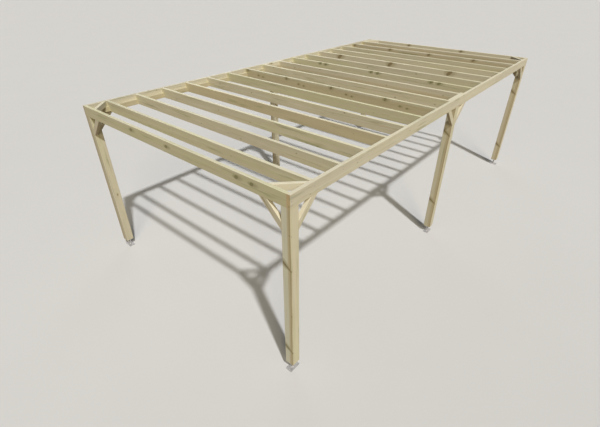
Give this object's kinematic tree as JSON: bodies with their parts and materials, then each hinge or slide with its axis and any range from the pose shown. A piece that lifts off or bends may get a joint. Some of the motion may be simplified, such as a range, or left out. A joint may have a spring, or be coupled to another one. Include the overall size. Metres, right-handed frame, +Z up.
{
  "type": "timber pergola",
  "caption": "Open timber pergola: square posts on steel feet, side beams, notched rafters and 45 degree braces.",
  "frame": {"origin": "On the ground under the middle of the frame.", "axes": "+Z up, +Y along the long side beams, +X to the side that faces the garden in the picture."},
  "size_m": [4.08, 7.89, 2.53],
  "materials": {
    "treated_pine": "planed, pressure treated, unpainted",
    "galvanised_steel": "hot dip galvanised"
  },
  "bodies": {
    "root": {"far_corner_braces": "treated_pine", "far_end_beam": "treated_pine", "far_left_foot": "galvanised_steel", "far_left_knee_braces": "treated_pine", "far_left_post": "treated_pine", "far_right_foot": "galvanised_steel", "far_right_knee_braces": "treated_pine", "far_right_post": "treated_pine", "left_beam_far": "treated_pine", "left_beam_near": "treated_pine", "left_ledger": "treated_pine", "middle_left_foot": "galvanised_steel", "middle_left_knee_braces": "treated_pine", "middle_left_post": "treated_pine", "middle_right_foot": "galvanised_steel", "middle_right_knee_braces": "treated_pine", "middle_right_post": "treated_pine", "near_corner_braces": "treated_pine", "near_end_beam": "treated_pine", "near_left_foot": "galvanised_steel", "near_left_knee_braces": "treated_pine", "near_left_post": "treated_pine", "near_right_foot": "galvanised_steel", "near_right_knee_braces": "treated_pine", "near_right_post": "treated_pine", "rafter_01": "treated_pine", "rafter_02": "treated_pine", "rafter_03": "treated_pine", "rafter_04": "treated_pine", "rafter_05": "treated_pine", "rafter_06": "treated_pine", "rafter_07": "treated_pine", "rafter_08": "treated_pine", "rafter_09": "treated_pine", "rafter_10": "treated_pine", "rafter_11": "treated_pine", "rafter_12": "treated_pine", "rafter_13": "treated_pine", "rafter_14": "treated_pine", "rafter_15": "treated_pine", "rafter_16": "treated_pine", "right_beam_far": "treated_pine", "right_beam_near": "treated_pine", "right_ledger": "treated_pine", "splice_blocks": "treated_pine"}
  },
  "joints": []
}
